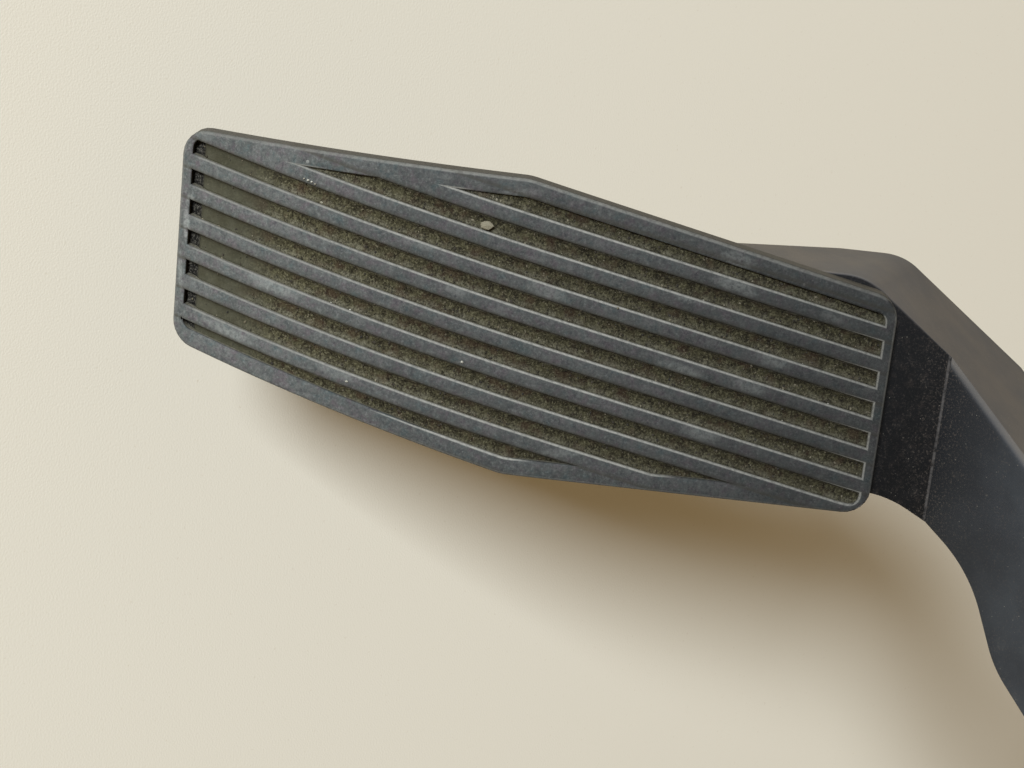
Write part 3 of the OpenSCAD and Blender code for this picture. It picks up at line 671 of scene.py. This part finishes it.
def make_plugs():
    """Barbed rubber plugs that hold the tread to its plate: one modelled, two copied."""
    none_selected()
    bpy.ops.mesh.primitive_cone_add(vertices=48, radius1=PLUG_TIP, radius2=PLUG_HEAD, depth=PLUG_THICK,
                                    location=(0, 0, PLUG_TOP - PLUG_THICK / 2))
    plug = bpy.context.object
    plug.data.transform(plug.matrix_world)
    plug.matrix_world = Matrix.Identity(4)
    edit(named(plug, "tread_plugs"))
    pick(plug, "faces", lambda f: f.normal.z > 0.9)
    bpy.ops.mesh.inset(thickness=PLUG_HEAD - PLUG_SHANK)
    bpy.ops.mesh.extrude_region_move(TRANSFORM_OT_translate={"value": (0, 0, PLUG_REACH)})
    pick(plug, "edges", lambda e: all(
        abs(v.co.z - PLUG_TOP) < 0.01 and v.co.xy.length > PLUG_HEAD - 0.1 for v in e.verts))
    bpy.ops.mesh.bevel(offset=0.3, segments=3, profile=0.5)
    pick(plug, "edges", lambda e: all(abs(v.co.z - PLUG_TOP + PLUG_THICK) < 0.01 for v in e.verts))
    bpy.ops.mesh.bevel(offset=0.4, segments=3, profile=0.5)
    done(plug)
    joined_at(plug, [Matrix.Translation((x, y, 0)) for x, y in PLUGS])
    for v in plug.data.vertices:
        v.co = PAD_PLACE @ (v.co * MM)
    smooth(plug, 35)
    rubber = plastic("plug_rubber", shade(30, 30, 31), shade(44, 44, 44), shade(96, 88, 74), 0.4, 0.65)
    plug.data.materials.append(rubber)
    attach(plug, PEDAL)
    return plug


# Dirt in the grooves

def groove_dirt_paint():
    p = Paint("groove_dirt")
    up = p.along(PAD_UP, PAD_MIDDLE)
    bank = p.attribute("bank")
    clumps = p.noise(1.5, detail=6, roughness=0.72)
    fine = p.noise(0.42, detail=4, roughness=0.8)
    sand = p.cells(0.5)
    smooth_part = (1 - (up + 3 * (p.noise(7, detail=2) - 0.5)).rise(-56, -44)) * up.rise(-63.9, -63.2)
    base = p.mix(clumps.rise(0.35, 0.65), shade(52, 45, 29), shade(100, 94, 66))
    base = p.mix(fine.rise(0.5, 0.66) * 0.8, base, shade(160, 152, 118))
    base = p.mix((1 - fine.rise(0.34, 0.47)) * 0.9, base, shade(18, 15, 9))
    base = p.mix(p.noise(3.5, detail=3, offset=(2, 9, 4)).rise(0.5, 0.66) * 0.45, base, shade(84, 58, 44))
    lit = bank.rise(0.45, 1.0) * (0.35 + 0.65 * p.noise(2.2, detail=4).rise(0.4, 0.62))
    base = p.mix(lit * fine.rise(0.3, 0.6) * 0.8, base, shade(160, 154, 130))
    base = p.mix((1 - sand.rise(0.08, 0.18)) * lit * 0.7, base, shade(196, 190, 168))
    film = p.mix(p.noise(2.5, detail=4).rise(0.3, 0.7), shade(84, 81, 62), shade(98, 95, 76))
    base = p.mix(smooth_part * 0.85, base, film)
    # Darker towards the arm: painted sheen at the free end, as on the rubber
    base = p.times(base, fading(p, up, (0.55, 0.52, 0.4, 0.31, 0.27, 0.26)))
    upper = 1 - bank.rise(0.0, 0.2)
    brown = p.times(shade(84, 80, 68), fading(p, up, (0.8, 0.75, 0.62, 0.5, 0.35, 0.33)))
    base = p.mix(upper * 0.6, base, brown)
    # Dark crumbs in the pit at each groove's free end, with painted shade
    pit_crumbs_and_shade = p.mix(fine.rise(0.46, 0.64), shade(20, 18, 15), shade(92, 87, 76))
    base = p.mix(1 - up.rise(PIT_START - 0.6, PIT_START), base, pit_crumbs_and_shade)
    normal = p.bump(fine, 0.1, normal=p.bump(clumps, 0.12))
    return p.finish(base, 0.92, normal=normal, Specular_IOR_Level=0.15)


def trim_to_border(strip):
    """Cuts the dirt off where the grooves end at the tread's border."""
    half = HALF_WIDTH - GROOVE_MARGIN + CORNER_ROOM + DIRT_TRIM
    slant = Vector((math.sin(LEAN), math.cos(LEAN), 0))
    slanting_place = Vector((0, HALF_WIDTH, 0)) - slant * (GROOVE_MARGIN - DIRT_TRIM)
    for point, normal in (
            ((HALF_LENGTH - GROOVE_END + DIRT_TRIM, 0, 0), (1, 0, 0)),
            ((LOW_END + GROOVE_END - DIRT_TRIM, 0, 0), (-1, 0, 0)),
            ((0, half, 0), (0, 1, 0)), ((0, -half, 0), (0, -1, 0)),
            (slanting_place, slant), (-slanting_place, -slant)):
        pick(strip, "faces", lambda f: True)
        bpy.ops.mesh.bisect(plane_co=tuple(point), plane_no=tuple(normal), clear_outer=True, use_fill=True)


def heap_dirt(strip):
    """Lifts the strips' tops, more along both banks, and stores how near the lower bank each point is."""
    loose = strip.vertex_groups.new(name="loose")
    floor_z = -GROOVE_DEPTH - 0.03
    banks = []
    for v in strip.data.vertices:
        low = max(0.0, min(1.0, 0.5 - from_groove(v.co) / GROOVE_WIDTH))
        banks.append(low)
        crumbly = max(0.0, min(1.0, (v.co.x - SMOOTH_END) / 16))
        pit = max(0.0, min(1.0, (PIT_START - v.co.x) / 0.7))
        high = max(0.0, (0.5 - low) * 2 - 0.3) / 0.7
        if v.co.z > 0.5:
            heap = DIRT_HEIGHT + 0.35 * low * low + 0.75 * high * high + 0.15 * crumbly
            v.co.z = floor_z + heap * (1 - 0.8 * pit)
            loose.add([v.index], max(pit, 0.15 + 0.85 * crumbly), "REPLACE")
        else:
            v.co.z = floor_z
            loose.add([v.index], 0.0, "REPLACE")
    bank = strip.data.attributes.new("bank", "FLOAT", "POINT")
    bank.data.foreach_set("value", banks)
    for name, size, height in (("heaps", 2.2, 0.7), ("crumbs", 0.5, 0.6)):
        texture = bpy.data.textures.new(name, "CLOUDS")
        texture.noise_scale = size
        texture.noise_depth = 3
        apply_modifier(strip, "DISPLACE", texture=texture, strength=height, mid_level=0.5, direction="Z",
                       vertex_group="loose", texture_coords="LOCAL")


def make_dirt():
    """Crumbly dirt packed in every groove: one strip modelled, copied, trimmed to the border and heaped."""
    none_selected()
    bpy.ops.mesh.primitive_grid_add(size=2, x_subdivisions=STRIP_STEPS[0], y_subdivisions=STRIP_STEPS[1])
    strip = edit(named(bpy.context.object, "groove_dirt"))
    bpy.ops.mesh.select_all(action="SELECT")
    bpy.ops.transform.resize(value=(STRIP_HALF, GROOVE_WIDTH / 2 + 0.04, 1))
    bpy.ops.mesh.extrude_region_move(TRANSFORM_OT_translate={"value": (0, 0, 1)})
    bpy.ops.mesh.select_all(action="SELECT")
    bpy.ops.mesh.normals_make_consistent(inside=False)
    done(strip)
    turn = Matrix.Rotation(-GROOVE_SLANT, 4, "Z")
    joined_at(strip, [turn @ Matrix.Translation((0, groove_centre(i), 0)) for i in range(GROOVES)])
    edit(strip)
    trim_to_border(strip)
    done(strip)
    heap_dirt(strip)
    set_on_pad(strip)
    only(strip)
    bpy.ops.object.shade_smooth()
    strip.data.materials.append(groove_dirt_paint())
    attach(strip, PEDAL)
    return strip


def grit_paint():
    p = Paint("grit")
    tone = p.attribute("tone")
    base = p.node("ShaderNodeValToRGB", {"stops": (
        (0.0, shade(24, 20, 15)), (0.4, shade(58, 50, 35)), (0.7, shade(104, 95, 72)),
        (0.93, shade(150, 142, 118)), (1.0, shade(200, 196, 180)))}, tone)
    # Painted sheen, brighter towards the free end
    base = p.times(base, fading(p, p.along(PAD_UP, PAD_MIDDLE), (1.0, 1.0, 0.85, 0.65, 0.55, 0.5)))
    base = p.mix(p.noise(0.2, detail=3).rise(0.4, 0.7) * 0.4, base, shade(60, 50, 36))
    return p.finish(base, 0.8, normal=p.bump(p.noise(0.15, detail=2), 0.05))


# Loose chips and grains on the tread: place in p and l, half lengths, tone
CHIPS = ((-7.2, 19.0, 1.35, 0.85, 0.88), (-41.6, 22.6, 0.3, 0.22, 1.0), (-40.9, 22.4, 0.25, 0.2, 1.0),
         (-42.4, 22.8, 0.2, 0.16, 0.97), (-40.2, 22.1, 0.2, 0.15, 0.95), (-9.3, -7.4, 0.35, 0.25, 1.0),
         (-31.0, -14.6, 0.3, 0.2, 0.98), (18.5, 6.4, 0.25, 0.2, 0.9))


def make_grit(dirt, count=2600):
    """Sand grains and dark crumbs lying on the dirt, thickest along its lower bank."""
    draw = random.Random(7)
    none_selected()
    bpy.ops.mesh.primitive_ico_sphere_add(subdivisions=1, radius=1)
    grain = bpy.context.object
    shape = [v.co.copy() for v in grain.data.vertices]
    sides = [tuple(f.vertices) for f in grain.data.polygons]
    bpy.data.objects.remove(grain)
    levels = dirt.data.attributes["bank"].data
    ground = [v for v in dirt.data.vertices if v.normal.dot(PAD_OUT) > 0.1]
    points, faces, tones = [], [], []
    while len(points) < count * len(shape):
        v = ground[draw.randrange(len(ground))]
        low = levels[v.index].value
        up = (v.co - PAD_MIDDLE).dot(PAD_UP) / MM
        away_from_end = max(0.0, min(1.0, (up + 60) / 30))
        if draw.random() > 0.25 + 0.75 * low or draw.random() > 0.2 + 0.8 * away_from_end:
            continue
        size = (0.09 + 0.17 * draw.random() ** 3) * MM
        tone = draw.random() * (0.6 + 0.4 * low)
        turn = Matrix.Rotation(draw.random() * 6.28, 3, "X") @ Matrix.Rotation(draw.random() * 6.28, 3, "Z")
        stretch = Vector((1 + 0.6 * draw.random(), 1, 0.6 + 0.4 * draw.random()))
        base = len(points)
        for co in shape:
            lump = Vector(co * stretch) * size * draw.uniform(0.75, 1.2)
            points.append(v.co + PAD_OUT * size * 0.35 + turn @ lump)
            tones.append(tone)
        faces += [tuple(k + base for k in side) for side in sides]
    for x, y, long, wide, tone in CHIPS:
        base = len(points)
        for co in shape:
            lump = Vector((co.x * long, co.y * wide, 0.25 + co.z * 0.3)) * draw.uniform(0.85, 1.15)
            points.append(PAD_PLACE @ (Vector((x + lump.x, y + lump.y, bow_down(x, 0) + lump.z)) * MM))
            tones.append(tone)
        faces += [tuple(k + base for k in side) for side in sides]
    mesh = bpy.data.meshes.new("groove_grit")
    mesh.from_pydata(points, [], faces)
    attribute = mesh.attributes.new("tone", "FLOAT", "POINT")
    attribute.data.foreach_set("value", tones)
    grit = bpy.data.objects.new("groove_grit", mesh)
    bpy.context.scene.collection.objects.link(grit)
    mesh.materials.append(grit_paint())
    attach(grit, PEDAL)
    return grit


# Moulded and turned pieces

def copy_of(node, name):
    """A merged copy of a frame node, with its flat faces whole again."""
    none_selected()
    source = frame["nodes"][node]
    piece = bpy.data.objects.new(name, source.data.copy())
    piece.data.name = name
    bpy.context.scene.collection.objects.link(piece)
    piece.data.materials.clear()
    edit(piece)
    bpy.ops.mesh.select_all(action="SELECT")
    bpy.ops.mesh.remove_doubles(threshold=2e-6)
    bpy.ops.mesh.dissolve_limited(angle_limit=math.radians(0.5))
    done(piece)
    bpy.ops.mesh.customdata_custom_splitnormals_clear()
    return piece


def settle(piece, node, body, coat):
    piece.data.materials.append(coat)
    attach(piece, body)
    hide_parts(node)
    return piece


def arm_paint():
    p = Paint("arm_plastic")
    to_left = p.facing(PAD_LEFT).rise(0.2, 0.85)
    on_neck = p.facing(PAD_OUT).rise(0.9, 0.985)
    from_crease = p.along(PAD_UP, PAD_MIDDLE) - (BEND_P - 0.1)
    height = p.along((0, 0, 1), (0, 0, -0.112))
    clouds = p.noise(12, detail=5, roughness=0.6)
    film = p.noise(4, detail=6, roughness=0.7, offset=(40, 7, 3))
    specks = p.noise(0.42, detail=3, roughness=0.8)
    crumbs = p.cells(0.9, offset=(3, 1, 7))
    fluff = p.noise(1.6, detail=6, roughness=0.75, offset=(9, 4, 1))
    # Front, with painted shade darkest near the bend
    base = p.mix(clouds.rise(0.35, 0.7), shade(42, 44, 47), shade(52, 55, 58))
    base = p.mix((1 - height.rise(-6, 30)) * 0.95, base, shade(20, 21, 23))
    # Neck: painted shade, nearly black, with brown dust that gathers by the crease
    neck_shade = p.mix(film.rise(0.4, 0.7), shade(5, 5, 5), shade(13, 12, 12))
    base = p.mix(on_neck, base, neck_shade)
    gather = 1 - from_crease.maths("ABSOLUTE", from_crease).rise(0.0, 7.0)
    dusty = specks.rise(0.52, 0.68) * (0.1 + 0.22 * film.rise(0.35, 0.65) + 0.3 * gather)
    base = p.mix(dusty, base, shade(84, 75, 66))
    base = p.mix(fluff.rise(0.5, 0.72) * on_neck * 0.2, base, shade(70, 60, 52))
    crease = (1 - from_crease.maths("ABSOLUTE", from_crease + 0.25).rise(0.1, 0.38)) * on_neck.rise(0.0, 0.2)
    patchy = p.noise(1.5, detail=4, roughness=0.7).rise(0.25, 0.6)
    base = p.mix(crease * patchy * 0.6, base, shade(88, 84, 80))
    # Side towards the lamp: dust and painted light, paler towards the back
    side = p.mix(clouds.rise(0.3, 0.7), shade(97, 93, 88), shade(107, 100, 91))
    base = p.mix(to_left * (0.8 + 0.2 * film), base, side)
    scattered = (1 - crumbs.rise(0.05, 0.12)) * p.noise(3, detail=2).rise(0.5, 0.6)
    base = p.mix(scattered * 0.5, base, shade(150, 142, 126))
    base = p.mix(film.rise(0.58, 0.85) * 0.16, base, shade(110, 104, 94))
    grain = p.noise(0.3, detail=3, roughness=0.6)
    rough = 0.5 + 0.2 * to_left + 0.16 * on_neck + 0.1 * film
    return p.finish(base, rough, normal=p.bump(grain, 0.03), Specular_IOR_Level=0.2)


def make_arm():
    arm = edit(copy_of("pedal_arm", "arm_moulding"))

    def along_front(e):
        if len(e.link_faces) != 2 or min(v.co.z for v in e.verts) > HUB_LOW:
            return False
        lie = sorted(f.normal.dot(DRAW) for f in e.link_faces)
        return lie[1] > 0.9 and abs(lie[0]) < 0.05

    def soft(e):
        faces = sorted(e.link_faces, key=lambda f: f.normal.dot(DRAW))
        return along_front(e) and faces[1].normal.y < -0.95 and faces[0].normal.x < -0.3

    pick(arm, "edges", soft)
    bpy.ops.mesh.bevel(offset=2.2 * MM, segments=5, profile=0.5, clamp_overlap=False)
    pick(arm, "edges", along_front)
    bpy.ops.mesh.bevel(offset=0.5 * MM, segments=3, profile=0.5, clamp_overlap=False)
    done(arm)
    smooth(arm, 32)
    return settle(arm, "pedal_arm", PEDAL, arm_paint())


EASED = {
    # node: (name, body, slot, edge radius in mm)
    "front_cover": ("front_cover_moulding", MOUNT, "housing_plastic", 0.4),
    "shaft_cap": ("shaft_cap_moulding", MOUNT, "housing_plastic", 0.5),
    "mount_sleeves": ("mount_sleeves_turned", MOUNT, "zinc_steel", 0.3),
    "cover_screws": ("cover_screws_headed", MOUNT, "zinc_steel", 0.25),
    "sensor_screws": ("sensor_screws_headed", MOUNT, "zinc_steel", 0.2),
}


def ease_edges(coats):
    for node, (name, body, slot, radius) in EASED.items():
        piece = copy_of(node, name)
        apply_modifier(piece, "BEVEL", width=radius * MM, segments=2, limit_method="ANGLE",
                       angle_limit=math.radians(40), use_clamp_overlap=False, miter_outer="MITER_ARC")
        smooth(piece, 32)
        settle(piece, node, body, coats[slot])


# Springs

SPRING_Z = -0.022
SPRING_SEAT = -0.037  # the arm's seat, along Y
SPRING_FOOT = -0.005  # the housing's seat
SEAT_GAP = 0.0001


def make_spring(name, node, coil_radius, wire, turns, coat):
    """A coil of round wire with closed and ground ends, drawn as a curve and made a mesh."""
    start = SPRING_SEAT + SEAT_GAP
    length = SPRING_FOOT - start - SEAT_GAP
    curve = bpy.data.curves.new(name, "CURVE")
    curve.dimensions = "3D"
    curve.bevel_depth = wire / 2
    curve.bevel_resolution = 4
    curve.use_fill_caps = True
    per_turn = 36
    line = curve.splines.new("POLY")
    line.points.add(turns * per_turn)
    for k, point in enumerate(line.points):
        t = k / per_turn
        if t < 1:
            rise = wire / 2 + t * wire
        elif t > turns - 1:
            rise = length - wire / 2 - (turns - t) * wire
        else:
            rise = wire * 1.5 + (t - 1) / (turns - 2) * (length - 3 * wire)
        turn = 2 * math.pi * t
        point.co = (coil_radius * math.cos(turn), start + rise, SPRING_Z - coil_radius * math.sin(turn), 1)
    spring = bpy.data.objects.new(name, curve)
    bpy.context.scene.collection.objects.link(spring)
    only(spring)
    bpy.ops.object.convert(target="MESH")
    spring = bpy.context.object
    smooth(spring, 50)
    spring.data.materials.append(coat)
    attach(spring, MOUNT)
    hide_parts(node)
    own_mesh(spring)
    return spring


# The frame's own nodes

def make_coats():
    """One material for each slot: moulded ones with dark, pale and dust, metals with dark, pale and stain."""
    moulded = {
        # slot: (material, dark, pale, dust, share of dust, roughness)
        "housing_plastic": ("housing_plastic", (34, 35, 37), (48, 49, 51), (120, 112, 96), 0.35, 0.5),
        "arm_plastic": ("arm_plastic", (40, 44, 50), (56, 61, 68), (128, 116, 98), 0.4, 0.5),
        "tread_rubber": ("pad_rubber", (40, 42, 46), (58, 60, 64), (110, 104, 90), 0.4, 0.5),
        "stop_rubber": ("stop_rubber", (30, 30, 31), (44, 44, 45), (96, 90, 78), 0.3, 0.75),
        "seal_rubber": ("seal_rubber", (96, 46, 30), (124, 62, 42), (140, 120, 100), 0.2, 0.6),
        "board": ("board", (24, 84, 54), (34, 104, 68), (150, 150, 130), 0.1, 0.35),
        "chip_plastic": ("chip_plastic", (26, 26, 28), (38, 38, 40), (90, 90, 90), 0.1, 0.45),
        "disc_plastic": ("disc_plastic", (196, 186, 160), (214, 206, 182), (110, 96, 70), 0.3, 0.4),
        "carrier_plastic": ("carrier_plastic", (214, 212, 202), (228, 226, 218), (150, 140, 120), 0.15, 0.4),
    }
    coats = {}
    for slot, (name, dark, pale, dust, dust_share, rough) in moulded.items():
        coats[slot] = plastic(name, shade(*dark), shade(*pale), shade(*dust), dust_share, rough)
    stain = shade(120, 104, 78)
    rust = shade(92, 70, 48)
    coats["zinc_steel"] = metal("zinc_steel", shade(150, 153, 158), shade(196, 198, 200), 0.3, stain, 0.35)
    coats["shaft_steel"] = metal("shaft_steel", shade(165, 166, 168), shade(205, 206, 208), 0.16)
    coats["spring_steel"] = metal("spring_steel", shade(110, 112, 116), shade(150, 152, 156), 0.32, rust, 0.3)
    coats["bush_bronze"] = metal("bush_bronze", shade(150, 108, 62), shade(190, 148, 96), 0.36)
    coats["contact_brass"] = metal("contact_brass", shade(198, 170, 104), shade(222, 198, 140), 0.25)
    coats["magnet"] = metal("magnet", shade(70, 70, 74), shade(96, 96, 100), 0.5, metallic=0.7)
    return coats


def finish_nodes(coats):
    """Puts each frame node's own material on it."""
    slot_of = {part["node"]: part["material_slot"] for part in frame["record"]["subparts"]}
    for name, node in frame["nodes"].items():
        node.data.materials.clear()
        node.data.materials.append(coats[slot_of[name]])


# Stage, light and camera

FLOOR_DROP = 0.035
AMBIENT_COLOUR = (1.0, 0.74, 0.43, 1)
AMBIENT_STRENGTH = 0.215
BACKDROP = (224, 217, 200)
LAMP_COLOUR = (0.8, 0.885, 1.0)
LAMP_TARGET = Vector((-0.04, -0.11, -0.15))
LAMP_TOWARDS = Vector((-0.451, -0.782, 0.5167))
LAMP_DISTANCE = 5.0
LAMP_SIZE = 1.05
LAMP_POWER = 368


def set_floor():
    none_selected()
    bpy.ops.mesh.primitive_plane_add(size=14, location=(0, 0, cad_box[0][2] - FLOOR_DROP))
    floor = named(bpy.context.object, "floor")
    floor.data.transform(floor.matrix_world)
    floor.matrix_world = Matrix.Identity(4)
    floor.data.materials.append(light_floor())


def set_world():
    """Dim warm light from all round; the camera sees a pale backdrop past the floor instead."""
    world = bpy.data.worlds.new("studio")
    bpy.context.scene.world = world
    world.use_nodes = True
    tree = world.node_tree
    ambient = tree.nodes["Background"]
    ambient.inputs["Color"].default_value = AMBIENT_COLOUR
    ambient.inputs["Strength"].default_value = AMBIENT_STRENGTH
    backdrop = tree.nodes.new("ShaderNodeBackground")
    backdrop.inputs["Color"].default_value = shade(*BACKDROP)
    seen = tree.nodes.new("ShaderNodeLightPath")
    either = tree.nodes.new("ShaderNodeMixShader")
    tree.links.new(seen.outputs["Is Camera Ray"], either.inputs[0])
    tree.links.new(ambient.outputs[0], either.inputs[1])
    tree.links.new(backdrop.outputs[0], either.inputs[2])
    tree.links.new(either.outputs[0], tree.nodes["World Output"].inputs["Surface"])


def set_lamp():
    lamp = bpy.data.lights.new("window", "AREA")
    lamp.color = LAMP_COLOUR
    lamp.shape = "SQUARE"
    lamp.size = LAMP_SIZE
    lamp.energy = LAMP_POWER
    holder = bpy.data.objects.new("window", lamp)
    bpy.context.scene.collection.objects.link(holder)
    holder.location = LAMP_TARGET + LAMP_TOWARDS.normalized() * LAMP_DISTANCE
    holder.rotation_euler = LAMP_TOWARDS.to_track_quat("Z", "Y").to_euler()


CAMERA_PLACE = Vector((-140.93, -381.11, 96.15)) * MM
CAMERA_RIGHT = Vector((-0.1019, 0.7333, 0.6722))
CAMERA_UP = Vector((-0.9609, 0.1024, -0.2574))
CAMERA_LENS = 70.81


def set_camera():
    data = bpy.data.cameras.new("camera")
    data.lens = CAMERA_LENS
    data.sensor_width = 36
    data.clip_start = 0.02
    data.clip_end = 20
    camera = bpy.data.objects.new("camera", data)
    bpy.context.scene.collection.objects.link(camera)
    back = CAMERA_RIGHT.cross(CAMERA_UP).normalized()
    up = back.cross(CAMERA_RIGHT).normalized()
    turn = Matrix((CAMERA_RIGHT.normalized(), up, back)).transposed().to_4x4()
    camera.matrix_world = Matrix.Translation(CAMERA_PLACE) @ turn
    bpy.context.scene.camera = camera


coats = make_coats()
finish_nodes(coats)
make_tread()
make_plugs()
make_grit(make_dirt())
make_arm()
ease_edges(coats)
make_spring("spring_outer_coil", "return_spring_outer", 0.0083, 0.002, 7, coats["spring_steel"])
make_spring("spring_inner_coil", "return_spring_inner", 0.005, 0.0015, 9, coats["spring_steel"])
set_floor()
set_world()
set_lamp()
set_camera()
bpy.context.scene.view_settings.view_transform = "Standard"
